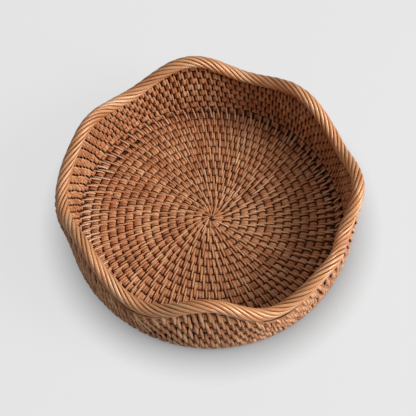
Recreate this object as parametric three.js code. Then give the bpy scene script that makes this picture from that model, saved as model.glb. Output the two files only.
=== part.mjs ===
// A round coiled basket of rattan: a flat spiral base, a wall of rising turns and a wavy rope-like rim.
// Millimetres, +Z up, origin on the table under the middle of the basket's outline.

import * as THREE from 'three';

// Driving dimensions: the coil
const coilPitch = 8.2;            // from one turn of the core cane to the next
const coilThickness = 7.4;        // of the cane, across the sheet that the turns form
const turnGap = 0.8;              // left between one turn and the next
const wallFootRadius = 130;       // centre line of the wall at the height of the corner's centre
const cornerRadius = 7.5;         // bend of the cane's centre line from base to wall
const startBendRadius = 4.2;      // the cane's start, tucked across the centre
const splicePlace = 0.25;         // part of the base's last turn at which the wall cane takes over
const spliceGap = 0.4;            // between the two butted ends
const taperEnd = 0.85;            // part of the last turn at which the shaved end stops
const thinnestHalf = 0.25;        // half the thickness of that end

// Driving dimensions: the rim
const wallSplay = 2;              // how far the wall's top edge stands out past its foot
const troughBulge = 3.5;          // how much further out that edge stands where the rim presses it down
const rimInset = 1;               // how far the rim's centre line stands in from the wall's top edge
const rimHeight = 68.5;           // its mean height over the table
const rimWave = 9.2;              // rise of a crest over that height, and fall of a trough
const rimCoreRadius = 3;
const lashingThickness = 2;
const lashingWidth = 7.6;         // of one strand, measured along the rim
const lashingClearance = 0.8;     // strand to rim core
const rimSeat = 1;                // last turn of the wall to the lashing
const strandCount = 8;
const strandTurns = 12;           // turns that one strand makes round the rim core
const strandCrown = 0.55;         // width of a strand's crown as a share of its seat

// The crests of the rim, bent by hand: degrees round the rim, how far the crest reaches out past the rim's
// radius, and how far the trough after it does
const crests = [
  { at: -3, reach: 2, troughReach: -1.7 },
  { at: 47.5, reach: -4, troughReach: -0.6 },
  { at: 99, reach: 1.2, troughReach: -0.7 },
  { at: 154, reach: -1.7, troughReach: 5.3 },
  { at: 211, reach: -3, troughReach: -1.3 },
  { at: 269, reach: -9.4, troughReach: 0.5 },
  { at: 322, reach: 1.5, troughReach: -4.4 },
];

// Driving dimensions: the stitching
const stitchWidth = 2;
const stitchThickness = 1;
const stitchClearance = 0.3;      // stitch to cane
const baseStitchColumns = 24;
const baseStitchSwirl = 0.33;     // turn of a column, in radians for each e-fold of the radius
const stitchHubRadius = 11;

// Steps of the faceted forms
const baseStepsPerTurn = 24;
const wallStepsPerTurn = 48;
const bendSteps = 3;
const columnSteps = 6;
const rimCurvePoints = 140;
const rimSteps = 112;
const rimSides = 8;

const TAU = 2 * Math.PI;
const radians = THREE.MathUtils.degToRad;
const mix = THREE.MathUtils.lerp;
const halfThickness = coilThickness / 2;
const rimOuterRadius = rimCoreRadius + lashingClearance + lashingThickness;
const rimRadius = wallFootRadius + wallSplay - rimInset;

// Height and reach of the hand-bent wave at an angle in radians: rise runs from -1 to 1, and reach is in
// millimetres
function waveAt(angle) {
  const turn = (value) => THREE.MathUtils.euclideanModulo(value, TAU);
  for (let k = 0; k < crests.length; k += 1) {
    const crest = crests[k];
    const next = crests[(k + 1) % crests.length];
    const span = turn(radians(next.at - crest.at));
    const along = turn(angle - radians(crest.at));
    if (along < span) {
      const rise = Math.cos(TAU * along / span);
      const nearest = along < span / 2 ? crest : next;
      return { rise, reach: mix(crest.troughReach, nearest.reach, (1 + rise) / 2) };
    }
  }
  return { rise: 1, reach: crests[0].reach };
}

// The sheet that the turns form, as a profile from the centre out and up. A place on it is told by its
// distance along the profile. The wall leans out a little towards its top edge.
const wallTopHeight = rimHeight - rimOuterRadius - rimSeat;
const wallLean = Math.atan2(wallSplay, wallTopHeight - halfThickness - cornerRadius);
const cornerTurn = Math.PI / 2 - wallLean;
const flatLength = wallFootRadius - cornerRadius / Math.cos(wallLean);
const cornerLength = cornerRadius * cornerTurn;
const cornerTopHeight = halfThickness + cornerRadius * (1 - Math.cos(cornerTurn));
const wallLength = (wallTopHeight - cornerTopHeight) / Math.cos(wallLean);
const topEdge = (flatLength + cornerLength + wallLength) / coilPitch;

function profileAt(length) {
  if (length <= flatLength) {
    return { r: length, z: halfThickness, tilt: 0 };
  }
  const past = length - flatLength;
  if (past <= cornerLength) {
    const tilt = past / cornerRadius;
    return {
      r: flatLength + cornerRadius * Math.sin(tilt),
      z: halfThickness + cornerRadius * (1 - Math.cos(tilt)),
      tilt,
    };
  }
  const up = past - cornerLength;
  return {
    r: flatLength + cornerRadius * Math.sin(cornerTurn) + up * Math.sin(wallLean),
    z: cornerTopHeight + up * Math.cos(wallLean),
    tilt: cornerTurn,
  };
}

// A point of the sheet at a number of turns from the centre, raised by offset towards the inside of the
// basket. The wave of the rim fades out down the wall, its reach sooner than its rise.
function sheetPoint(turns, angle, offset = 0) {
  const { r, z, tilt } = profileAt(turns * coilPitch);
  const share = THREE.MathUtils.clamp((z - cornerTopHeight) / (wallTopHeight - cornerTopHeight), 0, 1);
  const wave = waveAt(angle);
  const bulge = troughBulge * (1 - wave.rise) / 2;
  const radius = r + share ** 2 * (wave.reach + bulge) - offset * Math.sin(tilt);
  const height = z + share * rimWave * wave.rise + offset * Math.cos(tilt);
  return new THREE.Vector3(radius * Math.cos(angle), radius * Math.sin(angle), height);
}

// A closed mesh through rings of points. Rings run in order along the piece, and each goes round it once.
function skin(rings, closed = false) {
  const sides = rings[0].length;
  const points = rings.flat();
  const faces = [];
  const last = closed ? rings.length : rings.length - 1;
  for (let i = 0; i < last; i += 1) {
    const here = i * sides;
    const there = ((i + 1) % rings.length) * sides;
    for (let j = 0; j < sides; j += 1) {
      const next = (j + 1) % sides;
      faces.push([here + j, here + next, there + next], [here + j, there + next, there + j]);
    }
  }
  if (!closed) {
    const end = (rings.length - 1) * sides;
    for (let j = 1; j < sides - 1; j += 1) {
      faces.push([0, j + 1, j], [end, end + j, end + j + 1]);
    }
  }
  const outward = signedVolume(points, faces) > 0 ? faces : faces.map(([a, b, c]) => [a, c, b]);
  const geometry = new THREE.BufferGeometry().setFromPoints(points);
  geometry.setIndex(outward.flat());
  geometry.computeVertexNormals();
  return geometry;
}

function signedVolume(points, faces) {
  const cross = new THREE.Vector3();
  let sum = 0;
  for (const [a, b, c] of faces) {
    sum += points[a].dot(cross.crossVectors(points[b], points[c]));
  }
  return sum / 6;
}

// Least distance between one turn of a wound tube and the next, measured on the corners of the sections and
// on points between them
function leastGap(rings, stepsPerTurn, windowSteps = 2) {
  const sides = rings[0].length;
  const dense = rings.map((ring, i) => {
    const next = rings[Math.min(i + 1, rings.length - 1)];
    return ring.concat(ring.map((point, j) => point.clone().lerp(next[j], 0.5)));
  });
  let least = Infinity;
  for (let i = 0; i + stepsPerTurn - windowSteps < rings.length; i += 1) {
    for (let step = -windowSteps; step <= windowSteps; step += 1) {
      const other = dense[i + stepsPerTurn + step];
      for (let j = 0; other && j < 2 * sides; j += 1) {
        for (let k = 0; k < 2 * sides; k += 1) {
          least = Math.min(least, dense[i][j].distanceTo(other[k]));
        }
      }
    }
  }
  return least;
}

// Six-sided section of the cane between two places on the profile, told in turns from the centre. Its two
// flats lie on the inside and the outside of the sheet, and those under the base stand on the table.
function caneSection(angle, from, to) {
  const lower = sheetPoint(from, angle);
  const upper = sheetPoint(to, angle);
  const centre = sheetPoint((from + to) / 2, angle);
  const along = upper.sub(lower).multiplyScalar(0.5);
  along.setLength(Math.max(along.length() - turnGap / 2, thinnestHalf));
  const across = sheetPoint((from + to) / 2, angle, halfThickness).sub(centre);
  return sixCorners(centre, along, across);
}

// Corners that would dip under the table, where the first turn of the wall tilts, are cut level with it
function sixCorners(centre, along, across) {
  const corner = (s, t) => {
    const point = centre.clone().addScaledVector(along, s).addScaledVector(across, t);
    return point.setZ(Math.max(point.z, 0));
  };
  return [corner(1, 0), corner(0.5, 1), corner(-0.5, 1), corner(-1, 0), corner(-0.5, -1), corner(0.5, -1)];
}

// The base cane starts with a straight end across the centre and bends into the spiral. The row that it forms
// is one turn wide, so at any place the row's number is the turns gone round plus the rows at the bend's end.
const bendEnd = new THREE.Vector2(halfThickness + startBendRadius, startBendRadius);
const rowsAhead = bendEnd.length() / coilPitch - bendEnd.angle() / TAU;
const spliceTurn = Math.floor(flatLength / coilPitch - rowsAhead) + splicePlace;

function rowSection(turn) {
  const row = turn + rowsAhead;
  return caneSection(TAU * turn, row - 0.5, Math.min(row + 0.5, topEdge));
}

function baseCoil() {
  const flatSection = (x, y, heading) => {
    const centre = new THREE.Vector3(x, y, halfThickness);
    const along = new THREE.Vector3(Math.sin(heading), -Math.cos(heading), 0).multiplyScalar(halfThickness);
    return sixCorners(centre, along, new THREE.Vector3(0, 0, halfThickness));
  };
  const rings = [flatSection(-halfThickness, 0, 0)];
  for (let i = 0; i <= bendSteps; i += 1) {
    const bend = (Math.PI / 2) * (i / bendSteps);
    const x = halfThickness + startBendRadius * Math.sin(bend);
    rings.push(flatSection(x, startBendRadius * (1 - Math.cos(bend)), bend));
  }
  const firstStep = Math.ceil((bendEnd.angle() / TAU) * baseStepsPerTurn + 0.5);
  const lastStep = spliceTurn * baseStepsPerTurn;
  for (let step = firstStep; step <= lastStep; step += 1) {
    rings.push(rowSection(step / baseStepsPerTurn));
  }
  return rings;
}

// The wall cane starts at the splice and rises to the rim. Over its last turn it is shaved to a taper between
// the turn below and the line that the rim lies on.
function wallCoil() {
  const startTurn = spliceTurn + spliceGap / (TAU * (spliceTurn + rowsAhead) * coilPitch);
  const endTurn = topEdge - 0.5 + taperEnd - rowsAhead;
  const rings = [rowSection(startTurn)];
  const firstStep = Math.ceil(startTurn * wallStepsPerTurn + 0.5);
  for (let step = firstStep; step < endTurn * wallStepsPerTurn; step += 1) {
    rings.push(rowSection(step / wallStepsPerTurn));
  }
  rings.push(rowSection(endTurn));
  return rings;
}

// Centre line of the rim, with a frame at each place: out points away from the basket, up away from the wall
const rimCurve = new THREE.CatmullRomCurve3(
  Array.from({ length: rimCurvePoints }, (_, i) => {
    const angle = (TAU * i) / rimCurvePoints;
    const { rise, reach } = waveAt(angle);
    const radius = rimRadius + reach;
    return new THREE.Vector3(radius * Math.cos(angle), radius * Math.sin(angle), rimHeight + rimWave * rise);
  }),
  true,
);
rimCurve.arcLengthDivisions = 4 * rimCurvePoints;
const rimLength = rimCurve.getLength();

// A point beside the rim's centre line: along is a share of the way round, and around is the angle from out
// to up
function besideRim(along, around, radius) {
  const share = THREE.MathUtils.euclideanModulo(along, 1);
  const centre = rimCurve.getPointAt(share);
  const heading = rimCurve.getTangentAt(share);
  const out = new THREE.Vector3(centre.x, centre.y, 0).normalize();
  out.addScaledVector(heading, -out.dot(heading)).normalize();
  const up = new THREE.Vector3().crossVectors(out, heading);
  centre.addScaledVector(out, radius * Math.cos(around));
  return centre.addScaledVector(up, radius * Math.sin(around));
}

function rimCore() {
  return Array.from({ length: rimSteps }, (_, i) => (
    Array.from({ length: rimSides }, (__, j) => besideRim(i / rimSteps, (TAU * j) / rimSides, rimCoreRadius))
  ));
}

// One strand of the lashing. It winds round the core as it goes clockwise round the basket, seen from above,
// so that on top of the rim it runs from the outer edge to the inner edge.
function lashingStrand(index) {
  const inner = rimCoreRadius + lashingClearance;
  const outer = inner + lashingThickness;
  const halfWidth = lashingWidth / rimLength / 2;
  const steps = strandTurns * rimSides;
  return Array.from({ length: steps }, (_, i) => {
    const along = index / (strandCount * strandTurns) - i / steps;
    const around = (TAU * i) / rimSides;
    return [
      besideRim(along - halfWidth, around, inner),
      besideRim(along + halfWidth, around, inner),
      besideRim(along + halfWidth * strandCrown, around, outer),
      besideRim(along - halfWidth * strandCrown, around, outer),
    ];
  });
}

// The columns that the stitches form on the base: a thin star, swirled as it spreads from the centre
function baseStitching() {
  const bottom = coilThickness + stitchClearance;
  const tipRadius = flatLength - coilPitch / 2;
  const swirl = (radius) => baseStitchSwirl * Math.log(radius / stitchHubRadius);
  const outline = [];
  for (let i = 0; i < baseStitchColumns; i += 1) {
    const root = (TAU * i) / baseStitchColumns;
    for (const side of [-1, 1]) {
      for (let k = 0; k <= columnSteps; k += 1) {
        const share = side < 0 ? k / columnSteps : 1 - k / columnSteps;
        const radius = mix(stitchHubRadius, tipRadius, share);
        const angle = root + swirl(radius) + (side * stitchWidth) / 2 / radius;
        outline.push(new THREE.Vector2(radius * Math.cos(angle), radius * Math.sin(angle)));
      }
    }
  }
  const sheet = { depth: stitchThickness, bevelEnabled: false };
  return new THREE.ExtrudeGeometry(new THREE.Shape(outline), sheet).translate(0, 0, bottom);
}

const finishes = {
  cane: { color: 0xa9663c, roughness: 0.6, metalness: 0 },
  splint: { color: 0xd08a58, roughness: 0.5, metalness: 0 },
  lashing: { color: 0xc97a44, roughness: 0.35, metalness: 0 },
};

function piece(name, geometry, finish) {
  const mesh = new THREE.Mesh(geometry, new THREE.MeshStandardMaterial(finishes[finish]));
  mesh.name = name;
  return mesh;
}

const baseRings = baseCoil();
const wallRings = wallCoil();
console.log(`base_coil least gap to itself ${leastGap(baseRings, baseStepsPerTurn).toFixed(2)} mm`);
console.log(`wall_coil least gap to itself ${leastGap(wallRings, wallStepsPerTurn).toFixed(2)} mm`);

const basket = new THREE.Group();
basket.add(piece('base_coil', skin(baseRings), 'cane'));
basket.add(piece('wall_coil', skin(wallRings), 'cane'));
basket.add(piece('base_stitching', baseStitching(), 'splint'));
basket.add(piece('rim_core', skin(rimCore(), true), 'cane'));
for (let i = 0; i < strandCount; i += 1) {
  const number = String(i + 1).padStart(2, '0');
  basket.add(piece(`rim_lashing_${number}`, skin(lashingStrand(i), true), 'lashing'));
}

// The origin is under the middle of the outline, which the uneven rim puts a little off the basket's axis
const outline = new THREE.Box3().setFromObject(basket);
const middle = outline.getCenter(new THREE.Vector3());
basket.position.set(-middle.x, -middle.y, 0);

export default basket;
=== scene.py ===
"""A round coiled rattan basket: wrapped turns, long stitches and a wavy rim that is lashed like a rope."""

import logging
import math
from collections.abc import Callable
from dataclasses import dataclass, field
from enum import Enum, IntEnum

import bmesh
import bpy
import numpy as np
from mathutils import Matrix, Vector


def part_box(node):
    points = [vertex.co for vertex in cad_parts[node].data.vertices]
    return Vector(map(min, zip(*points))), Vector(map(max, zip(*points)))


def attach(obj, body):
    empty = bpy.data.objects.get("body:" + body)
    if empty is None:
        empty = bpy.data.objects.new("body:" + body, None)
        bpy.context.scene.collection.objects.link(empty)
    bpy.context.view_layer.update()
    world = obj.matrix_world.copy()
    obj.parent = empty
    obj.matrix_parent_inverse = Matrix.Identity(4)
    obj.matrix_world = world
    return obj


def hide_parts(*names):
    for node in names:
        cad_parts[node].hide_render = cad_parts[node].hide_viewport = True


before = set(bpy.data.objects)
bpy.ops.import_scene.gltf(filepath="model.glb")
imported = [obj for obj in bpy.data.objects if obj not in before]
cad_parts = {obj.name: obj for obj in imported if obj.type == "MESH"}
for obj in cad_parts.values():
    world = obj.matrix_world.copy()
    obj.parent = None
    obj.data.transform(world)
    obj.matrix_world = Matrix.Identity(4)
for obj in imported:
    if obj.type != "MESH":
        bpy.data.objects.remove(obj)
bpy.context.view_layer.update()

Array = np.ndarray
Colour = tuple[float, float, float]
Socket = bpy.types.NodeSocket

log = logging.getLogger("basket")
TAU = math.tau
MM = 0.001
ROOT = "root"
FIBRE = "fibre"
MERGE_DISTANCE = 0.001 * MM
MIDDLE_SHADE = 0.5


class Seed(IntEnum):
    """The seeds of the random draws, one for each job."""

    PLAN = 20
    WRAPS = 21
    RIM = 22
    BASE_INSIDE = 31
    WALL_INSIDE = 32
    BASE_OUTSIDE = 33
    WALL_OUTSIDE = 34
    CORNER = 35


def paint(red: int, green: int, blue: int) -> Colour:
    """Turns a colour as a screen shows it, 0 to 255, into a shader's linear colour, by the sRGB curve.

    Args:
        red, green, blue: the channels as shown.

    Returns:
        The three linear channels.
    """
    def linear(channel: int) -> float:
        """Turns one channel."""
        share = channel / 255
        return share / 12.92 if share <= 0.04045 else ((share + 0.055) / 1.055) ** 2.4

    return linear(red), linear(green), linear(blue)


class Face(Enum):
    """The two faces of the sheet that the turns form, as the sign of an offset from its middle."""

    INSIDE = 1
    OUTSIDE = -1


@dataclass(frozen=True)
class Crest:
    """A crest of the hand-bent rim: its place in degrees, its reach, and that of the trough after it."""

    at: float
    reach: float
    trough_reach: float


@dataclass
class BentWave:
    """The wave of the rim, which runs round the basket in seven uneven crests. Reaches are millimetres."""

    crests: tuple[Crest, ...] = (
        Crest(-3, 2, -1.7),
        Crest(47.5, -4, -0.6),
        Crest(99, 1.2, -0.7),
        Crest(154, -1.7, 5.3),
        Crest(211, -3, -1.3),
        Crest(269, -9.4, 0.5),
        Crest(322, 1.5, -4.4),
    )

    def at(self, angle: Array) -> tuple[Array, Array]:
        """Gives the rise and the reach at angles round the basket.

        Args:
            angle: radians from +X, counter-clockwise seen from above.

        Returns:
            The rise from -1 to 1, and the reach in millimetres.
        """
        first = math.radians(self.crests[0].at)
        starts = np.radians([crest.at for crest in self.crests]) - first
        spans = np.diff(np.append(starts, TAU))
        reaches = np.array([crest.reach for crest in self.crests])
        troughs = np.array([crest.trough_reach for crest in self.crests])
        turned = np.mod(angle - first, TAU)
        k = np.searchsorted(starts, turned, side="right") - 1
        along = turned - starts[k]
        rise = np.cos(TAU * along / spans[k])
        nearest = np.where(along < spans[k] / 2, reaches[k], np.roll(reaches, -1)[k])
        return rise, troughs[k] + (nearest - troughs[k]) * (1 + rise) / 2


@dataclass
class Sheet:
    """The sheet that the turns of the coil form, from the centre out and up, in millimetres.

    A place on it is a number of turns from the centre, an angle round the basket and an offset from the
    middle of the sheet, positive towards the inside. The last row goes on for taper_end of a turn while it
    tapers, and the collar is how far the turns reach up under the rim. What fills the corner fades over
    corner_reach rows.
    """

    axis: Vector
    wave: BentWave = field(default_factory=BentWave)
    pitch: float = 8.2
    thickness: float = 7.4
    wall_foot_radius: float = 130.0
    corner_radius: float = 7.5
    start_bend_radius: float = 4.2
    splice_place: float = 0.25
    wall_splay: float = 2.0
    trough_bulge: float = 3.5
    rim_inset: float = 1.0
    rim_height: float = 68.5
    rim_wave: float = 9.2
    rim_tube_radius: float = 5.8
    rim_seat: float = 1.0
    collar: float = 2.2
    taper_end: float = 0.85
    corner_reach: float = 0.95

    def __post_init__(self) -> None:
        """Works out the profile from the sizes."""
        self.middle = self.thickness / 2
        self.wall_top = self.rim_height - self.rim_tube_radius - self.rim_seat
        rise = self.wall_top - self.middle - self.corner_radius
        self.lean = math.atan2(self.wall_splay, rise)
        self.rim_radius = self.wall_foot_radius + self.wall_splay - self.rim_inset
        self.corner_turn = math.pi / 2 - self.lean
        self.flat_length = self.wall_foot_radius - self.corner_radius / math.cos(self.lean)
        self.base_edge = self.flat_length / self.pitch
        self.corner_length = self.corner_radius * self.corner_turn
        self.corner_top = self.middle + self.corner_radius * (1 - math.cos(self.corner_turn))
        wall_length = (self.wall_top - self.corner_top) / math.cos(self.lean)
        self.top_edge = (self.flat_length + self.corner_length + wall_length) / self.pitch
        start = Vector((self.middle + self.start_bend_radius, self.start_bend_radius))
        self.rows_ahead = start.length / self.pitch - math.atan2(start.y, start.x) / TAU
        self.splice = math.floor(self.flat_length / self.pitch - self.rows_ahead) + self.splice_place

    def profile(self, turns: Array) -> tuple[Array, Array, Array]:
        """Gives the middle of the sheet without the wave.

        Args:
            turns: turns from the centre.

        Returns:
            The radius and the height in millimetres, and the tilt in radians: 0 on the base.
        """
        length = np.asarray(turns) * self.pitch
        tilt = np.clip((length - self.flat_length) / self.corner_radius, 0, self.corner_turn)
        up = np.maximum(length - self.flat_length - self.corner_length, 0)
        radius = np.minimum(length, self.flat_length) + self.corner_radius * np.sin(tilt)
        height = self.middle + self.corner_radius * (1 - np.cos(tilt))
        return radius + up * math.sin(self.lean), height + up * math.cos(self.lean), tilt

    def points(self, turns: Array, angle: Array, offset: Array) -> Array:
        """Places points on the sheet. What would dip under the table is pressed flat on it.

        Args:
            turns: turns from the centre.
            angle: radians round the basket.
            offset: millimetres from the middle of the sheet towards the inside.

        Returns:
            The points in metres, one to a row.
        """
        radius, height, tilt = self.profile(turns)
        share = np.clip((height - self.corner_top) / (self.wall_top - self.corner_top), 0, 1)
        rise, reach = self.wave.at(angle)
        bulge = self.trough_bulge * (1 - rise) / 2
        radius = radius + share**2 * (reach + bulge) - offset * np.sin(tilt)
        height = np.maximum(height + share * self.rim_wave * rise + offset * np.cos(tilt), 0)
        return self.placed(np.stack([radius * np.cos(angle), radius * np.sin(angle), height], axis=-1))

    def placed(self, points: Array) -> Array:
        """Turns points in millimetres from the axis into metres in the frame."""
        return points * MM + np.array([self.axis.x, self.axis.y, 0])

    def cornering(self, turns: Array) -> Array:
        """Gives how much of the corner a place has: 1 in its middle, and next to 0 two rows away."""
        middle = self.base_edge + self.corner_length / self.pitch / 2
        return np.exp(-(((np.asarray(turns) - middle) / self.corner_reach) ** 2))

    def row(self, angle: Array) -> Array:
        """Gives the row, in turns from the centre, that the coil has reached after turning by an angle."""
        return np.asarray(angle) / TAU + self.rows_ahead

    def row_edges(self, angle: Array) -> tuple[Array, Array]:
        """Gives the two edges of the row.

        The last row tapers under the rim, and past its end the row below it reaches up to the rim.

        Args:
            angle: radians turned along the coil.

        Returns:
            The inner or lower edge and the outer or upper one, in turns from the centre.
        """
        row = self.row(angle)
        under_rim = row + 0.5 >= self.top_edge + self.taper_end - 1
        return row - 0.5, np.where(under_rim, self.top_edge + self.collar / self.pitch, row + 0.5)


class Value:
    """A number that a shader works out, used in Python sums like any other number."""

    def __init__(self, shader: "Shader", socket: Socket) -> None:
        """Wraps one output socket of a shader's node."""
        self.shader = shader
        self.socket = socket

    def maths(self, operation: str, *terms: "Value | float") -> "Value":
        """Adds one Math node.

        Args:
            operation: what the node does.
            terms: the values and numbers that it does it to.

        Returns:
            The result.
        """
        inputs = dict(enumerate(terms))
        node = self.shader.node("ShaderNodeMath", {"operation": operation}, inputs)
        return Value(self.shader, node.outputs[0])

    def __add__(self, other: "Value | float") -> "Value":
        """Adds."""
        return self.maths("ADD", self, other)

    def __radd__(self, other: float) -> "Value":
        """Adds to a number."""
        return self.maths("ADD", other, self)

    def __sub__(self, other: "Value | float") -> "Value":
        """Subtracts."""
        return self.maths("SUBTRACT", self, other)

    def __rsub__(self, other: float) -> "Value":
        """Subtracts from a number."""
        return self.maths("SUBTRACT", other, self)

    def __mul__(self, other: "Value | float") -> "Value":
        """Multiplies."""
        return self.maths("MULTIPLY", self, other)

    def __rmul__(self, other: float) -> "Value":
        """Multiplies a number."""
        return self.maths("MULTIPLY", other, self)

    def __pow__(self, other: float) -> "Value":
        """Raises to a power."""
        return self.maths("POWER", self, other)

    def __abs__(self) -> "Value":
        """Drops the sign."""
        return self.maths("ABSOLUTE", self)


class Shader:
    """A node material under construction."""

    def __init__(self, name: str) -> None:
        """Starts a material with its Principled surface.

        Args:
            name: the material's name.
        """
        self.material = bpy.data.materials.new(name)
        self.material.use_nodes = True
        self.tree = self.material.node_tree
        self.surface = self.tree.nodes["Principled BSDF"]

    def node(self, kind: str, settings: dict | None = None, inputs: dict | None = None) -> bpy.types.Node:
        """Adds a node.

        Args:
            kind: the node's type.
            settings: its properties, set first; stops are a ramp's places and colours.
            inputs: values or links for its sockets, by name or number.

        Returns:
            The node.
        """
        node = self.tree.nodes.new(kind)
        for name, setting in (settings or {}).items():
            if name == "stops":
                self._set_stops(node.color_ramp, setting)
            else:
                setattr(node, name, setting)
        for socket, value in (inputs or {}).items():
            self.feed(node.inputs[socket], value)
        return node

    def _set_stops(self, ramp: bpy.types.ColorRamp, stops: list[tuple[float, Colour]]) -> None:
        """Gives a colour ramp its stops.

        Args:
            ramp: the ramp.
            stops: the place of each stop from 0 to 1, and its colour.
        """
        while len(ramp.elements) < len(stops):
            ramp.elements.new(1)
        for element, (place, colour) in zip(ramp.elements, stops):
            element.position = place
            element.color = (*colour, 1)

    def feed(self, socket: Socket, value: "Value | Socket | float | Colour") -> None:
        """Links or sets a socket.

        Args:
            socket: the socket.
            value: a value or an output, which is linked, or a number or a colour, which is set.
        """
        if isinstance(value, Value):
            self.tree.links.new(value.socket, socket)
        elif isinstance(value, bpy.types.NodeSocket):
            self.tree.links.new(value, socket)
        elif socket.type == "RGBA":
            socket.default_value = (*value, 1)
        else:
            socket.default_value = value

    def noise(self, vector: Socket, scale: float, detail: float = 2) -> Value:
        """Adds a noise texture with values about 0.5 on a vector."""
        inputs = {"Vector": vector, "Scale": scale, "Detail": detail}
        return Value(self, self.node("ShaderNodeTexNoise", {}, inputs).outputs[0])

    def vector(self, x: "Value | float", y: "Value | float", z: "Value | float") -> Socket:
        """Joins three numbers to a vector."""
        return self.node("ShaderNodeCombineXYZ", {}, {0: x, 1: y, 2: z}).outputs[0]

    def mix(self, share: Value, first: Socket | Colour, second: Socket | Colour) -> Socket:
        """Mixes two colours, which the node takes in its sockets 6 and 7."""
        settings = {"data_type": "RGBA"}
        return self.node("ShaderNodeMix", settings, {0: share, 6: first, 7: second}).outputs[2]


GLOSS_TINT = paint(255, 226, 190)


@dataclass(frozen=True)
class CaneFinish:
    """Varnished rattan: colours that differ from strand to strand, with fine grain along each strand, and
    painted shade that darkens each strand towards its edges, in the grooves between strands.
    """

    name: str
    dark: Colour
    middle: Colour
    light: Colour
    painted_groove_shade: Colour
    roughness: float
    coat: float = 0.15
    strand_change: float = 0.5
    streaks: float = 0.5
    patches: float = 0.5
    painted_groove_shade_share: float = 0.5
    relief: float = 0.25
    grain_depth: float = 0.15
    gloss: float = 0.5

    DETAIL = 3
    PATCH_SCALE = 38
    STREAK_SCALES = (0.11, 1.7, 61)
    GRAIN_SCALES = (0.4, 6, 97)
    GRAIN_SHARE = 0.3
    PAINTED_GROOVE_SHADE_POWER = 3
    ROUGHNESS_CHANGE = 0.25
    COAT_ROUGHNESS = 0.25

    def material(self) -> bpy.types.Material:
        """Makes the material, which follows the fibre attribute of the piece.

        Returns:
            The material.
        """
        shader = Shader(self.name)
        fibre = shader.node("ShaderNodeAttribute", {"attribute_name": FIBRE}).outputs["Vector"]
        outputs = shader.node("ShaderNodeSeparateXYZ", {}, {0: fibre}).outputs
        parts = [Value(shader, output) for output in outputs]
        _, across, number = parts

        def strand_place(scales: tuple[float, float, float]) -> Socket:
            """Gives a place along and across each strand, which changes from strand to strand."""
            return shader.vector(*(part * scale for part, scale in zip(parts, scales)))

        place = shader.node("ShaderNodeTexCoord").outputs["Object"]
        patches = shader.noise(place, self.PATCH_SCALE, self.DETAIL)
        streaks = shader.noise(strand_place(self.STREAK_SCALES), 1, self.DETAIL)
        grain = shader.noise(strand_place(self.GRAIN_SCALES), 1)
        shade = (
            0.5
            + (number - 0.5) * self.strand_change
            + (streaks - 0.5) * (2 * self.streaks)
            + (patches - 0.5) * (2 * self.patches)
            + (grain - 0.5) * self.GRAIN_SHARE
        )
        stops = [(0.0, self.dark), (0.5, self.middle), (1.0, self.light)]
        ramp = shader.node("ShaderNodeValToRGB", {"stops": stops}, {"Fac": shade})
        # Painted shade: the colour darkens towards the edges of each strand, where it meets its neighbours
        # in a groove.
        edge = abs(across) ** self.PAINTED_GROOVE_SHADE_POWER * self.painted_groove_shade_share
        relief = {"Strength": self.relief, "Distance": self.grain_depth * MM, "Height": grain + streaks}
        looks = {
            "Base Color": shader.mix(edge, ramp.outputs[0], self.painted_groove_shade),
            "Roughness": self.roughness + (streaks - 0.5) * self.ROUGHNESS_CHANGE,
            "Coat Weight": self.coat,
            "Coat Roughness": self.COAT_ROUGHNESS,
            "Specular IOR Level": self.gloss,
            "Specular Tint": GLOSS_TINT,
            "Normal": shader.node("ShaderNodeBump", {}, relief).outputs[0],
        }
        for socket, value in looks.items():
            shader.feed(shader.surface.inputs[socket], value)
        return shader.material


WRAP_FINISH = CaneFinish(
    name="wrapping cane",
    dark=paint(148, 88, 57),
    middle=paint(204, 134, 92),
    light=paint(236, 176, 131),
    painted_groove_shade=paint(110, 60, 38),
    roughness=0.45,
    coat=0.1,
    streaks=0.35,
    painted_groove_shade_share=0.12,
)
STITCH_FINISH = CaneFinish(
    name="stitching cane",
    dark=paint(178, 114, 76),
    middle=paint(220, 154, 108),
    light=paint(246, 200, 154),
    painted_groove_shade=paint(140, 80, 50),
    roughness=0.42,
    coat=0.1,
    painted_groove_shade_share=0.3,
)
# Painted light: a paler copy of the stitching cane for the corner stitches, which stand proud and catch the
# light.
LIT_STITCH_FINISH = CaneFinish(
    name="pale stitching cane",
    dark=paint(205, 145, 102),
    middle=paint(240, 188, 146),
    light=paint(252, 220, 184),
    painted_groove_shade=paint(150, 90, 58),
    roughness=0.32,
    coat=0.3,
)
RIM_FINISH = CaneFinish(
    name="lashing cane",
    dark=paint(202, 124, 76),
    middle=paint(238, 168, 114),
    light=paint(253, 212, 164),
    painted_groove_shade=paint(120, 60, 34),
    roughness=0.36,
    coat=0.6,
    streaks=0.3,
    patches=0.35,
    painted_groove_shade_share=0.85,
    relief=0.03,
    gloss=1.0,
)
# The core cane is coloured dark as painted shade: it shows only in the gaps between the wrapped turns and
# between the rim's strands.
CORE_GAP_SHADE_FINISH = CaneFinish(
    name="core cane",
    dark=paint(52, 28, 18),
    middle=paint(74, 40, 25),
    light=paint(98, 56, 36),
    painted_groove_shade=paint(50, 26, 16),
    roughness=0.7,
    coat=0.0,
)


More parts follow.
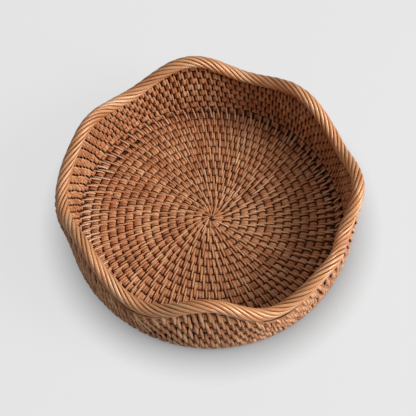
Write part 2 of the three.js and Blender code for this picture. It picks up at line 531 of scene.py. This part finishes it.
@dataclass
class StrandUnit:
    """One short strand as a mesh in its own measures, which is then laid many times.

    Its x runs along the strand from 0 to 1, its y across it from -1 to 1, and its z through its thickness
    from 0 to 1.
    """

    section: tuple[tuple[float, float], ...]
    segments: int
    ring: bool = False

    def mesh(self, count: int) -> bpy.types.Mesh:
        """Makes count copies of the strand in one mesh, one after another.

        Args:
            count: how many copies.

        Returns:
            The mesh.
        """
        bm = bmesh.new()
        corners = [bm.verts.new((0, y, z)) for y, z in self.section]
        if self.ring:
            edges = [bm.edges.new(pair) for pair in zip(corners, corners[1:] + corners[:1])]
            self._extrude(bm, corners + edges)
        else:
            cap = bm.faces.new(corners)
            self._extrude(bm, corners + list(cap.edges) + [cap])
        bmesh.ops.recalc_face_normals(bm, faces=bm.faces[:])
        unit = bpy.data.meshes.new("unit")
        bm.to_mesh(unit)
        bm.free()
        return self._repeat(unit, count)

    def _extrude(self, bm: bmesh.types.BMesh, section: list) -> None:
        """Draws the section out along x, one step to a segment."""
        step, steps = (1 / self.segments, 0, 0), self.segments
        bmesh.ops.spin(bm, geom=section, cent=(0, 0, 0), axis=(1, 0, 0), dvec=step, angle=0, steps=steps)

    def _repeat(self, unit: bpy.types.Mesh, count: int) -> bpy.types.Mesh:
        """Repeats the unit in place with an Array modifier.

        Args:
            unit: the mesh of one strand.
            count: how many copies.

        Returns:
            The mesh of all the copies.
        """
        holder = bpy.data.objects.new("holder", unit)
        bpy.context.scene.collection.objects.link(holder)
        array = holder.modifiers.new("copies", "ARRAY")
        array.count = count
        array.use_relative_offset = False
        graph = bpy.context.evaluated_depsgraph_get()
        mesh = bpy.data.meshes.new_from_object(holder.evaluated_get(graph))
        bpy.data.objects.remove(holder)
        return mesh


Placing = Callable[[Array, Array, Array], tuple[Array, Array]]


def round_section(sides: int) -> tuple[tuple[float, float], ...]:
    """Gives the section of a round cane."""
    corners = [TAU * k / sides for k in range(sides)]
    return tuple((math.cos(corner), math.sin(corner)) for corner in corners)


def lay(name: str, unit: StrandUnit, count: int, place: Placing) -> bpy.types.Object:
    """Lays copies of a strand in their places, as one piece.

    Args:
        name: the piece's name.
        unit: the strand that is laid.
        count: how many times.
        place: turns the copies' own x, y and z, one row to a copy, into points in metres and fibre values.

    Returns:
        The piece.
    """
    mesh = unit.mesh(count)
    mesh.name = name
    own = np.empty(len(mesh.vertices) * 3, np.float32)
    mesh.vertices.foreach_get("co", own)
    along, across, height = np.moveaxis(own.reshape(count, -1, 3).astype(float), -1, 0)
    points, fibre = place(np.round(along * unit.segments) / unit.segments, across, height)
    mesh.vertices.foreach_set("co", points.astype(np.float32).ravel())
    attribute = mesh.attributes.new(FIBRE, "FLOAT_VECTOR", "POINT")
    attribute.data.foreach_set("vector", fibre.astype(np.float32).ravel())
    bm = bmesh.new()
    bm.from_mesh(mesh)
    bmesh.ops.remove_doubles(bm, verts=bm.verts[:], dist=MERGE_DISTANCE)
    bmesh.ops.recalc_face_normals(bm, faces=bm.faces[:])
    bm.to_mesh(mesh)
    bm.free()
    mesh.shade_smooth()
    piece = bpy.data.objects.new(name, mesh)
    bpy.context.scene.collection.objects.link(piece)
    log.info("%s: %d strands, %d faces", name, count, len(mesh.polygons))
    return piece


def finished(piece: bpy.types.Object, finish: CaneFinish, slot: str, *nodes: str) -> bpy.types.Object:
    """Dresses a piece, fixes it to the basket and hides the CAD nodes that it stands for.

    Args:
        piece: the piece.
        finish: its finish.
        slot: the record's material slot; not used.
        nodes: CAD nodes that the piece stands for.

    Returns:
        The piece.
    """
    material = bpy.data.materials.get(finish.name) or finish.material()
    piece.data.materials.append(material)
    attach(piece, ROOT)
    if nodes:
        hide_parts(*nodes)
    return piece


def fibres(along: Array, across: Array, number: Array) -> Array:
    """Joins the measures along and across each strand and the strand's own number to one attribute."""
    return np.stack(np.broadcast_arrays(along, across, number), axis=-1)


def rounded(share: Array, power: float) -> Array:
    """Raises to a power and keeps the sign, which squares off a sine."""
    return np.sign(share) * np.abs(share) ** power


@dataclass
class Workplan:
    """The order of work: where along the coil each long stitch lies, as the angle turned from the start.

    Each stitch is tied beside the stitch of the row inside it, a little further on, so the stitches read as
    columns that swirl outwards. Where two columns have spread apart, a new one begins between them. Shifts,
    gaps and limits are millimetres, and what a wall_ value names is added on the wall.
    """

    sheet: Sheet
    first_count: int = 12
    shift: float = 3.4
    wall_shift: float = 1.4
    shift_share: float = 0.36
    wall_shift_share: float = 0.16
    hub_radius: float = 22.0
    hub_limit: float = 5.0
    limits: tuple[float, float] = (10.8, 12.6)
    wall_spread: float = -0.3
    evening: float = 0.14
    jitter: float = 0.22
    split: tuple[float, float] = (0.44, 0.56)
    left_rows: float = 1.0

    def __post_init__(self) -> None:
        """Works out every stitch's angle and the room to the next one."""
        rng = np.random.default_rng(Seed.PLAN)
        last = (self.sheet.top_edge - 0.5 + self.sheet.taper_end - self.sheet.rows_ahead) * TAU
        places = [k * TAU / self.first_count for k in range(self.first_count)]
        inner = 0
        while places[-1] < last:
            radius, _, tilt = (float(value) for value in self.sheet.profile(self.sheet.row(places[-1])))
            gap = (places[inner + 1] - places[inner]) * radius
            gap_before = (places[inner] - places[inner - 1]) * radius if inner else gap
            share = self.shift_share + self.wall_shift_share * math.sin(tilt)
            shift = min(self.shift + self.wall_shift * math.sin(tilt), share * gap)
            shift += rng.normal(0, self.jitter) + self.evening * (gap - gap_before)
            target = places[inner] + TAU + shift / radius
            limit = self.hub_limit if radius < self.hub_radius else rng.uniform(*self.limits)
            limit += self.wall_spread * math.sin(tilt)
            if (target - places[-1]) * radius > limit:
                places.append(places[-1] + (target - places[-1]) * rng.uniform(*self.split))
            places.append(target)
            inner += 1
        self.angle = np.array([place for place in places if place < last])
        self.room = np.diff(np.append(self.angle, last))
        self.in_base = self.angle < self.sheet.splice * TAU

    def early_turn(self, angle: Array) -> Array:
        """Gives by how many rows the base seems to turn up sooner, which it does at the left."""
        return self.left_rows * np.maximum(-np.cos(angle), 0) ** 2


@dataclass
class WrappedCane:
    """The core cane and the cane strip that is wrapped round it between one stitch and the next.

    Each turn of the strip is a ring about its row, half_width along the sheet and half_height through it,
    with a roundness of 1 where it is an ellipse and less where it is squarer. On the inside the rings are
    sunk in the row before the corner and filled out in the corner, which makes it a soft one. What a wall_
    value names is added on the wall, apart from wall_roundness, which holds there. Sizes are millimetres.
    """

    sheet: Sheet
    plan: Workplan
    strip_width: float = 2.9
    wall_strip_gain: float = 0.8
    strip_thickness: float = 0.6
    stitch_room: float = 2.1
    open_room: float = 0.9
    wall_open_room: float = 0.7
    wall_slack: float = 0.3
    half_width: float = 3.25
    half_height: float = 2.75
    core_overlap: float = 0.6
    core_half_height: float = 1.8
    core_tilt: float = 0.6
    core_fill: float = 1.6
    roundness: float = 0.78
    wall_roundness: float = 1.0
    sunk: float = 1.6
    sunk_rows: float = 1.0
    inner_dip: float = -0.6
    inner_fill: float = 2.3
    outer_bulge: float = -0.3
    corner_fill: float = 1.7
    lean: float = 0.4
    lean_roundness: float = 0.5
    least_strip: float = 0.5
    lead: float = 0.45
    swing: float = 0.12
    height_margin: float = 0.6
    sunk_reach: float = 0.5
    base_split: float = 0.72
    wall_split: float = 0.5
    core_sides: int = 8
    core_steps: int = 64
    least_half_row: float = 1.2
    start_wraps: int = 7
    start_turns: float = -0.55
    start_half_length: float = 5.0
    start_radius: float = 2.4
    start_steps: int = 4

    SECTION = ((-1, 0), (-0.9, 0.82), (0, 1), (0.9, 0.82), (1, 0))
    SEGMENTS = 12

    def build(self) -> None:
        """Makes the cores and the wrapping of the base and the wall."""
        ends = (self.start_turns, self.sheet.splice, self.plan.angle[-1] / TAU)
        for name, start, end in zip(("base", "wall"), ends, ends[1:]):
            finished(self.core(f"{name}_core_cane", start * TAU, end * TAU), CORE_GAP_SHADE_FINISH, "cane")
        finished(self.start(), CORE_GAP_SHADE_FINISH, "cane")
        angle, room, number = self.wraps()
        start, splice, end = ends
        base_split = self.base_split * splice
        wall_split = splice + self.wall_split * (end - splice)
        stretches = {
            "base_wrapping_inner": ("base_coil", start, base_split),
            "base_wrapping_outer": ("base_coil", base_split, splice),
            "wall_wrapping_lower": ("wall_coil", splice, wall_split),
            "wall_wrapping_upper": ("wall_coil", wall_split, end),
        }
        for name, (node, first, last) in stretches.items():
            chosen = (angle >= first * TAU) & (angle < last * TAU)
            piece = self.wrapping(name, angle[chosen], room[chosen], number[chosen])
            finished(piece, WRAP_FINISH, "splint", node)

    def core(self, name: str, start: float, end: float) -> bpy.types.Object:
        """Makes the core cane between two angles of the coil. Its turns overlap a little, like shingles.

        Args:
            name: the piece's name.
            start: angle turned where it starts.
            end: angle turned where it ends.

        Returns:
            The piece.
        """
        steps = round((end - start) / TAU * self.core_steps)

        def place(along: Array, across: Array, height: Array) -> tuple[Array, Array]:
            """Places the points of the core along the coil."""
            angle = start + along * (end - start)
            low, high = self.sheet.row_edges(angle)
            row = (low + high) / 2 + across * ((high - low) / 2 + self.core_overlap / self.sheet.pitch)
            fill = self.core_fill * self.sheet.cornering(row)
            offset = height * self.core_half_height + across * self.core_tilt + fill
            points = self.sheet.points(row, angle, offset)
            return points, fibres(along * (end - start) * self.sheet.wall_foot_radius, across, MIDDLE_SHADE)

        return lay(name, StrandUnit(round_section(self.core_sides), steps), 1, place)

    def start(self) -> bpy.types.Object:
        """Makes the start of the base cane, tucked across the centre.

        Returns:
            The piece.
        """
        def place(along: Array, across: Array, height: Array) -> tuple[Array, Array]:
            """Places the points of the straight start."""
            side = (2 * along - 1) * self.start_half_length
            rise = self.sheet.middle + height * self.start_radius
            points = np.stack([side, across * self.start_radius, rise], axis=-1)
            return self.sheet.placed(points), fibres(side, across, MIDDLE_SHADE)

        unit = StrandUnit(round_section(self.core_sides), self.start_steps)
        return lay("base_core_start", unit, 1, place)

    def wraps(self) -> tuple[Array, Array, Array]:
        """Finds the place of every turn of the strip: one to four between one stitch and the next.

        Returns:
            The angle of each, the angle that each takes up, and a random number for each.
        """
        rng = np.random.default_rng(Seed.WRAPS)
        radius, _, tilt = self.sheet.profile(self.sheet.row(self.plan.angle))
        upright = np.sin(tilt)
        free = self.plan.room * radius - self.stitch_room - self.open_room - self.wall_open_room * upright
        strip_width = self.strip_width + self.wall_strip_gain * upright
        counts = np.maximum(np.round(free / strip_width), 1).astype(int)
        free = np.maximum(free, self.least_strip * self.strip_width)
        owner = np.repeat(np.arange(len(counts)), counts)
        order = np.arange(len(owner)) - np.repeat(np.cumsum(counts) - counts, counts)
        each = free[owner] / counts[owner] / radius[owner]
        lead = self.lead * self.stitch_room / radius[owner]
        angle = self.plan.angle[owner] + lead + (order + 0.5) * each
        start = TAU * self.start_turns / self.start_wraps
        angle = np.concatenate([start * np.arange(self.start_wraps, 0, -1) - start / 2, angle])
        each = np.concatenate([np.full(self.start_wraps, -start), each])
        low, high = self.sheet.row_edges(angle)
        wide = (high - low) / 2 * self.sheet.pitch > self.least_half_row
        return angle[wide], each[wide], rng.random(wide.sum())

    def wrapping(self, name: str, angle: Array, room: Array, number: Array) -> bpy.types.Object:
        """Makes turns of the strip round the core.

        Args:
            name: the piece's name.
            angle: angle of each turn of the strip.
            room: angle that each takes up.
            number: random number of each, for its colour and height.

        Returns:
            The piece.
        """
        angle, room, number = angle[:, None], room[:, None], number[:, None]
        low, high = self.sheet.row_edges(angle)
        middle = (low + high) / 2
        tilt = self.sheet.profile(middle)[2]
        upright = np.sin(tilt)
        slack = self.sheet.pitch / 2 - self.half_width + self.wall_slack * upright
        half_width = (high - low) / 2 * self.sheet.pitch - slack
        half_height = np.minimum(self.half_height, half_width + self.height_margin)
        swing = self.swing * (number - 0.5)
        power = self.roundness + (self.wall_roundness - self.roundness) * upright
        bulge = self.outer_bulge * upright + self.corner_fill * np.sin(2 * tilt)
        past = middle - self.sheet.base_edge + self.sunk_rows + self.plan.early_turn(angle)
        sunk = self.sunk * np.exp(-((past / self.sunk_reach) ** 2)) + self.inner_dip * upright

        def place(along: Array, across: Array, height: Array) -> tuple[Array, Array]:
            """Places the points of each turn round the row that it binds."""
            turn = TAU * along
            thick = self.strip_thickness * height
            side = rounded(np.cos(turn), power) * (half_width + thick)
            row = middle + side / self.sheet.pitch
            radius = self.sheet.profile(row)[0]
            inner = self.inner_fill * self.sheet.cornering(row) - sunk
            rise = half_height + thick + swing + np.where(turn < math.pi, inner, bulge)
            offset = rounded(np.sin(turn), power) * rise
            lean = self.lean * np.cos(turn) * rounded(np.sin(turn), self.lean_roundness)
            spot = angle + across * room / 2 + lean / radius
            length = TAU * self.half_width
            return self.sheet.points(row, spot, offset), fibres(along * length, across, number)

        return lay(name, StrandUnit(self.SECTION, self.SEGMENTS, ring=True), len(angle), place)


@dataclass
class LongStitches:
    """The long stitches that tie each row to the row inside it, as they show on one face of the sheet.

    A part from 0 to 1 of a stitch lies over the inner row, and from 1 to 2 over its own.
    """

    sheet: Sheet
    plan: Workplan
    face: Face
    width: float
    thickness: float
    crown_inner: float
    crown_own: float
    dip: float
    lean: float
    start: float = 0.0
    dive: float = 2.6
    wall_rise: float = 0.0
    corner_lift: float = 0.0
    fullness: float = 3.2
    narrow_start: float = 0.74
    point: float = 0.35
    hub_reach: float = 1.3
    tuck: float = 0.0
    tuck_rows: float = 0.9
    foot_press: float = 0.0
    point_power: int = 4
    part_range: tuple[float, float] = (0.02, 1.98)
    room_share: float = 0.46
    lift_change: float = 0.09
    width_change: tuple[float, float] = (0.86, 1.14)
    lean_change: tuple[float, float] = (0.8, 1.2)
    fibre_length: float = 17.0

    SECTION = ((-1, 0.05), (-0.68, 0.74), (0, 1), (0.68, 0.74), (1, 0.05))
    SEGMENTS = 11
    OWN_MIDDLE = 1.5

    def build(self, name: str, chosen: Array, seed: int) -> bpy.types.Object:
        """Lays the stitches that are chosen from the plan.

        Args:
            name: the piece's name.
            chosen: truth value for each stitch of the plan.
            seed: seed of what differs between stitches.

        Returns:
            The piece.
        """
        rng = np.random.default_rng(seed)
        angle = self.plan.angle[chosen][:, None]
        room = self.plan.room[chosen][:, None]
        count = len(angle)
        number = rng.random((count, 1))
        half = self.width / 2 * rng.uniform(*self.width_change, (count, 1))
        lift = rng.normal(0, self.lift_change, (count, 1))
        lean = self.lean * rng.uniform(*self.lean_change, (count, 1))
        low, high = self.sheet.row_edges(angle)
        inner = np.maximum(low - 1, self.hub_reach / self.sheet.pitch)
        first, last = self.part_range

        def place(along: Array, across: Array, height: Array) -> tuple[Array, Array]:
            """Places the points of each stitch over its two rows."""
            part = first + (last - first) * along
            row = inner + np.minimum(part, 1) * (low - inner) + np.maximum(part - 1, 0) * (high - low)
            radius, _, tilt = self.sheet.profile(row)
            ends = 1 - self.point * np.abs(part - 1) ** self.point_power
            width = half * ends * (self.narrow_start + (1 - self.narrow_start) * along)
            width = np.minimum(width, self.room_share * room * radius)
            spot = angle + (self.start + lean * (part - self.OWN_MIDDLE) + across * width) / radius
            crown = self.crown(part) + self.wall_rise * np.sin(tilt)
            crown = crown + self.corner_lift * self.sheet.cornering(row) + lift
            crown = crown - self.tuck * np.clip(1 - (self.sheet.top_edge - row) / self.tuck_rows, 0, 1)
            crown = crown - self.foot_press * np.exp(-((row - self.sheet.base_edge - 1) ** 2))
            offset = self.face.value * (crown - (1 - height) * self.thickness)
            return self.sheet.points(row, spot, offset), fibres(along * self.fibre_length, across, number)

        return lay(name, StrandUnit(self.SECTION, self.SEGMENTS), count, place)

    def crown(self, part: Array) -> Array:
        """Gives the height of the stitch's crown over the middle of a flat sheet.

        Args:
            part: place along the stitch.

        Returns:
            The height in millimetres.
        """
        own = part > 1
        across_row = np.where(own, part - 1, part)
        arch = 1 - np.abs(2 * across_row - 1) ** self.fullness
        peak = np.where(own, self.crown_own, self.crown_inner)
        outer_half = own == (across_row > 0.5)
        foot = np.where(outer_half, peak - self.dive, peak - self.dip)
        return foot + (peak - foot) * arch


@dataclass
class CornerStitches:
    """The straight stitches inside that bridge the corner between the base and the wall; their pale colours
    are painted light, for the light they catch as they stand proud over it.
    """

    sheet: Sheet
    plan: Workplan
    width: float = 1.9
    thickness: float = 1.5
    crown: float = 4.5
    arch: float = 1.2
    lean: float = 1.6
    foot: float = -1.05
    top: float = 1.1
    rows: tuple[float, float] = (-0.4, 0.6)
    # Painted light: these stitches take only the lighter part of their colour ramp.
    painted_light_number_range: tuple[float, float] = (0.4, 1)
    width_change: tuple[float, float] = (0.85, 1.15)
    lean_change: tuple[float, float] = (0.8, 1.2)
    point: float = 0.5
    point_power: int = 5
    fibre_length: float = 14.0
    segments: int = 8

    def chosen(self) -> Array:
        """Tells for each stitch of the plan whether it bridges the corner, which it does in a few rows.

        Returns:
            A truth value for each stitch.
        """
        past = self.sheet.row(self.plan.angle) - 0.5 - self.sheet.base_edge
        first, last = self.rows
        return (past > first - self.plan.early_turn(self.plan.angle)) & (past <= last)

    def build(self, name: str, seed: int) -> bpy.types.Object:
        """Lays the stitches.

        Args:
            name: the piece's name.
            seed: seed of what differs between stitches.

        Returns:
            The piece.
        """
        rng = np.random.default_rng(seed)
        angle = self.plan.angle[self.chosen()][:, None]
        shape = angle.shape
        number = rng.uniform(*self.painted_light_number_range, shape)
        half = self.width / 2 * rng.uniform(*self.width_change, shape)
        row = self.sheet.row(angle) - 0.5
        foot = self.end(angle, row + self.foot, -self.lean * rng.uniform(*self.lean_change, shape))
        top = self.end(angle, row + self.top, self.lean * rng.uniform(*self.lean_change, shape))
        heading = (top - foot) / np.linalg.norm(top - foot, axis=-1, keepdims=True)
        tangent = np.stack([-np.sin(angle), np.cos(angle), 0 * angle], axis=-1)
        rise = np.cross(heading, tangent)

        def place(along: Array, across: Array, height: Array) -> tuple[Array, Array]:
            """Places the points of each stitch on the straight line between its ends."""
            width = half * (1 - self.point * np.abs(2 * along - 1) ** self.point_power)
            lift = self.arch * (1 - (2 * along - 1) ** 2) - (1 - height) * self.thickness
            points = foot + (top - foot) * along[..., None]
            points = points + (tangent * (across * width)[..., None] + rise * lift[..., None]) * MM
            return points, fibres(along * self.fibre_length, across, number)

        return lay(name, StrandUnit(LongStitches.SECTION, self.segments), len(angle), place)

    def end(self, angle: Array, row: Array, shift: Array) -> Array:
        """Gives the place of an end of each stitch, shifted along the row by millimetres."""
        return self.sheet.points(row, angle + shift / self.sheet.profile(row)[0], self.crown)


@dataclass
class Stitching:
    """All the long stitches: fine ones inside, broader leaf-shaped ones outside."""

    sheet: Sheet
    plan: Workplan

    def build(self) -> None:
        """Makes the stitches of the base and the wall, inside and outside."""
        base = self.plan.in_base
        bridging = CornerStitches(self.sheet, self.plan)
        others = ~bridging.chosen()
        piece = self.base_inside().build("base_inner_stitches", base & others, Seed.BASE_INSIDE)
        finished(piece, STITCH_FINISH, "splint", "base_stitching")
        piece = self.wall_inside().build("wall_inner_stitches", ~base & others, Seed.WALL_INSIDE)
        finished(piece, STITCH_FINISH, "splint")
        finished(bridging.build("corner_inner_stitches", Seed.CORNER), LIT_STITCH_FINISH, "splint")
        outside = self.outside()
        for name, chosen, seed in (
            ("base_underside_stitches", base, Seed.BASE_OUTSIDE),
            ("wall_outer_stitches", ~base, Seed.WALL_OUTSIDE),
        ):
            finished(outside.build(name, chosen, seed), STITCH_FINISH, "splint")

    def base_inside(self) -> LongStitches:
        """Gives the long stitches of the base as they show inside: full and close together.

        Returns:
            The stitches, not yet laid.
        """
        return LongStitches(
            self.sheet,
            self.plan,
            Face.INSIDE,
            width=2.55,
            thickness=1.6,
            crown_inner=4.3,
            crown_own=4.05,
            dip=0.6,
            lean=0.75,
            corner_lift=1.6,
            fullness=4.0,
        )

    def wall_inside(self) -> LongStitches:
        """Gives the long stitches of the wall as they show inside: humped over each row like beads.

        Returns:
            The stitches, not yet laid.
        """
        return LongStitches(
            self.sheet,
            self.plan,
            Face.INSIDE,
            width=2.7,
            thickness=1.8,
            crown_inner=4.4,
            crown_own=4.1,
            dip=1.2,
            lean=1.4,
            corner_lift=1.6,
            fullness=2.6,
        )

    def outside(self) -> LongStitches:
        """Gives the long stitches as they show outside: broad leaves with pointed ends.

        Returns:
            The stitches, not yet laid.
        """
        return LongStitches(
            self.sheet,
            self.plan,
            Face.OUTSIDE,
            width=3.6,
            thickness=1.8,
            crown_inner=3.8,
            crown_own=3.6,
            dip=0.3,
            lean=-2.0,
            start=1.5,
            wall_rise=1.5,
            fullness=2.2,
            narrow_start=0.85,
            point=0.75,
            tuck=2.0,
            foot_press=1.0,
        )


@dataclass
class Rim:
    """The rim: a bent hoop with eight strands of cane laid round it in a slow helix, like a rope."""

    sheet: Sheet
    hoop_radius: float = 3.9
    seat_radius: float = 3.6
    crown_radius: float = 5.8
    seat_cane_radius: float = 2.0
    strands: int = 8
    strand_turns: int = 12
    fill: float = 0.98
    swellings: tuple[int, int, int] = (7, 16, 29)
    width_swell: float = 0.07
    crown_swell: float = 0.12
    cane_sides: int = 12
    steps: int = 320
    places: int = 2880

    HALF_SECTION = ((1, 0), (1, 0.42), (0.88, 0.73), (0.5, 0.94))
    SECTION = tuple((-y, z) for y, z in HALF_SECTION) + ((0, 1),) + HALF_SECTION[::-1]

    def __post_init__(self) -> None:
        """Measures the rim's centre line along its length."""
        self.angles = np.linspace(0, TAU, self.places + 1)
        line = self.centre(self.angles)
        lengths = np.linalg.norm(np.diff(line, axis=0), axis=1)
        self.travelled = np.concatenate([[0], np.cumsum(lengths)])
        self.length = float(self.travelled[-1])

    def build(self) -> None:
        """Makes the hoop and its strands."""
        finished(self.hoop(), CORE_GAP_SHADE_FINISH, "cane", "rim_core")
        finished(self.seat(), WRAP_FINISH, "cane")
        rng = np.random.default_rng(Seed.RIM)
        for index in range(self.strands):
            strand = self.strand(index, rng.random(), rng.uniform(0, TAU, len(self.swellings)))
            finished(strand, RIM_FINISH, "lashing", f"rim_lashing_{index + 1:02d}")

    def centre(self, angle: Array) -> Array:
        """Gives the centre line of the rim.

        Args:
            angle: radians round the basket.

        Returns:
            The points in millimetres from the axis.
        """
        rise, reach = self.sheet.wave.at(angle)
        radius = self.sheet.rim_radius + reach
        height = self.sheet.rim_height + self.sheet.rim_wave * rise
        return np.stack([radius * np.cos(angle), radius * np.sin(angle), height], axis=-1)

    def beside(self, along: Array, around: Array, radius: Array) -> Array:
        """Gives points beside the centre line.

        Args:
            along: share of the way round.
            around: angle from out to up.
            radius: millimetres from the centre line.

        Returns:
            The points in metres.
        """
        angle = np.interp(np.mod(along, 1) * self.length, self.travelled, self.angles)
        centre = self.centre(angle)
        small = TAU / self.places
        heading = self.centre(angle + small) - self.centre(angle - small)
        heading /= np.linalg.norm(heading, axis=-1, keepdims=True)
        out = centre * (1, 1, 0)
        out -= heading * np.sum(out * heading, axis=-1, keepdims=True)
        out /= np.linalg.norm(out, axis=-1, keepdims=True)
        up = np.cross(out, heading)
        radius = np.broadcast_to(radius, angle.shape)
        outwards, upwards = radius * np.cos(around), radius * np.sin(around)
        return self.sheet.placed(centre + out * outwards[..., None] + up * upwards[..., None])

    def seat(self) -> bpy.types.Object:
        """Makes the thin cane on the wall's top edge that the rim is seated on.

        Returns:
            The piece.
        """
        def place(along: Array, across: Array, height: Array) -> tuple[Array, Array]:
            """Places the points of the cane round the top edge."""
            row = self.sheet.top_edge + height * self.seat_cane_radius / self.sheet.pitch
            points = self.sheet.points(row, TAU * along, across * self.seat_cane_radius)
            return points, fibres(along * self.length, across, MIDDLE_SHADE)

        unit = StrandUnit(round_section(self.cane_sides), self.steps, ring=True)
        return lay("rim_seat_cane", unit, 1, place)

    def hoop(self) -> bpy.types.Object:
        """Makes the hoop that the strands are laid round.

        Returns:
            The piece.
        """
        def place(along: Array, across: Array, height: Array) -> tuple[Array, Array]:
            """Places the points of the hoop round its centre line."""
            points = self.beside(along, np.arctan2(height, across), self.hoop_radius)
            return points, fibres(along * self.length, across, MIDDLE_SHADE)

        unit = StrandUnit(round_section(self.cane_sides), self.steps, ring=True)
        return lay("rim_hoop", unit, 1, place)

    def strand(self, index: int, number: float, phases: Array) -> bpy.types.Object:
        """Makes one strand, which closes on itself after all its turns.

        Args:
            index: which strand it is.
            number: its random number, for its colour.
            phases: where its small swellings lie.

        Returns:
            The piece.
        """
        half_width = self.length / self.strands / self.strand_turns / 2 * self.fill

        def place(along: Array, across: Array, height: Array) -> tuple[Array, Array]:
            """Places the points of the strand round the hoop."""
            waves = [np.sin(TAU * along * count + phase) for count, phase in zip(self.swellings, phases)]
            width = half_width * (1 + self.width_swell * (waves[0] + waves[1]))
            crown = self.crown_radius - self.seat_radius + self.crown_swell * (waves[2] + waves[1])
            spot = index / (self.strands * self.strand_turns) - along + across * width / self.length
            points = self.beside(spot, TAU * self.strand_turns * along, self.seat_radius + height * crown)
            return points, fibres(along * self.length, across, number)

        unit = StrandUnit(self.SECTION, self.steps, ring=True)
        return lay(f"rim_strand_{index + 1:02d}", unit, 1, place)


@dataclass(frozen=True)
class Lamp:
    """A square lamp that shines at the basket, in metres and watts."""

    name: str
    place: tuple[float, float, float]
    size: float
    power: float


@dataclass
class Studio:
    """A pale floor with a painted contact shadow near the basket, soft light from the right and above, and
    a camera that looks down in front.
    """

    floor_size: float = 6.0
    floor_cells: int = 8
    floor_drop: float = 0.2 * MM
    floor_colour: Colour = paint(202, 202, 203)
    floor_mottle: float = 0.97
    mottle_scale: float = 3.0
    floor_roughness: float = 0.9
    floor_gloss: float = 0.1
    floor_glow: float = 0.875
    floor_lift: float = 0.8
    painted_shadow_reach: float = 0.035
    painted_shadow_samples: int = 8
    world_level: float = 0.165
    lamps: tuple[Lamp, ...] = (
        Lamp("key", (1.31, -0.28, 1.05), 1.0, 28.0),
        Lamp("top", (-0.1, 0.35, 1.9), 1.2, 4.0),
    )
    distance: float = 1.055
    elevation: float = 62.15
    target_height: float = 0.026
    lens: float = 96.87
    sensor: float = 36.0
    shift: tuple[float, float] = (-0.0065, 0.00043)

    def build(self, axis: Vector) -> None:
        """Makes the floor, the light, the world and the camera.

        Args:
            axis: the basket's axis on the floor.
        """
        self.floor()
        self.world()
        for lamp in self.lamps:
            self.hang(lamp, axis)
        self.camera(axis)

    def floor(self) -> None:
        """Makes the floor, which the camera sees a little paler than the light makes it, with a painted
        shadow where occlusion darkens that paleness near the basket.
        """
        bm = bmesh.new()
        cells = self.floor_cells
        bmesh.ops.create_grid(bm, x_segments=cells, y_segments=cells, size=self.floor_size / 2)
        bmesh.ops.translate(bm, verts=bm.verts[:], vec=(0, 0, -self.floor_drop))
        mesh = bpy.data.meshes.new("floor")
        bm.to_mesh(mesh)
        bm.free()
        shader = Shader("floor")
        mottle = shader.noise(shader.node("ShaderNodeTexCoord").outputs["Object"], self.mottle_scale)
        darker = tuple(self.floor_mottle * channel for channel in self.floor_colour)
        shader.feed(shader.surface.inputs["Base Color"], shader.mix(mottle, self.floor_colour, darker))
        shader.feed(shader.surface.inputs["Roughness"], self.floor_roughness)
        shader.feed(shader.surface.inputs["Specular IOR Level"], self.floor_gloss)
        seen = Value(shader, shader.node("ShaderNodeLightPath").outputs["Is Camera Ray"]) * self.floor_lift
        # Painted shadow: ambient occlusion darkens the glow that the camera sees on the floor near the
        # basket.
        occlusion = {"samples": self.painted_shadow_samples}
        shade = shader.node("ShaderNodeAmbientOcclusion", occlusion, {"Distance": self.painted_shadow_reach})
        glow = {"Color": shade.outputs["Color"], "Strength": self.floor_glow}
        pale = shader.node("ShaderNodeEmission", {}, glow).outputs[0]
        lifted = shader.node("ShaderNodeMixShader", {}, {0: seen, 1: shader.surface.outputs[0], 2: pale})
        shader.feed(shader.tree.nodes["Material Output"].inputs["Surface"], lifted.outputs[0])
        mesh.materials.append(shader.material)
        floor = bpy.data.objects.new("floor", mesh)
        bpy.context.scene.collection.objects.link(floor)

    def world(self) -> None:
        """Lights the world evenly."""
        world = bpy.data.worlds.new("studio")
        world.use_nodes = True
        background = world.node_tree.nodes["Background"]
        background.inputs["Color"].default_value = (1, 1, 1, 1)
        background.inputs["Strength"].default_value = self.world_level
        bpy.context.scene.world = world

    def hang(self, lamp: Lamp, axis: Vector) -> None:
        """Hangs a lamp and turns it to the basket.

        Args:
            lamp: the lamp.
            axis: the basket's axis on the floor.
        """
        light = bpy.data.lights.new(lamp.name, "AREA")
        light.shape = "SQUARE"
        light.size = lamp.size
        light.energy = lamp.power
        hung = bpy.data.objects.new(lamp.name, light)
        hung.location = lamp.place
        hung.rotation_euler = (axis - Vector(lamp.place)).to_track_quat("-Z", "Y").to_euler()
        bpy.context.scene.collection.objects.link(hung)

    def camera(self, axis: Vector) -> None:
        """Sets up the camera.

        Args:
            axis: the basket's axis on the floor.
        """
        lens = bpy.data.cameras.new("camera")
        lens.lens = self.lens
        lens.sensor_width = self.sensor
        lens.shift_x, lens.shift_y = self.shift
        camera = bpy.data.objects.new("camera", lens)
        slope = math.radians(self.elevation)
        target = Vector((axis.x, axis.y, self.target_height))
        back = Vector((0, -math.cos(slope), math.sin(slope)))
        camera.location = target + back * self.distance
        camera.rotation_euler = (-back).to_track_quat("-Z", "Y").to_euler()
        bpy.context.scene.collection.objects.link(camera)
        bpy.context.scene.camera = camera


def main() -> None:
    """Builds the basket and the studio, and notes how many stitches there are in how many rows."""
    logging.basicConfig(level=logging.INFO, format="%(message)s")
    low, high = (Vector(corner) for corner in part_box("base_stitching"))
    axis = Vector(((low.x + high.x) / 2, (low.y + high.y) / 2, 0))
    sheet = Sheet(axis)
    plan = Workplan(sheet)
    log.info("%d stitches in %.1f rows", len(plan.angle), sheet.top_edge)
    WrappedCane(sheet, plan).build()
    Stitching(sheet, plan).build()
    Rim(sheet).build()
    Studio().build(axis)
    bpy.context.scene.view_settings.view_transform = "Standard"


if __name__ == "__main__":
    main()
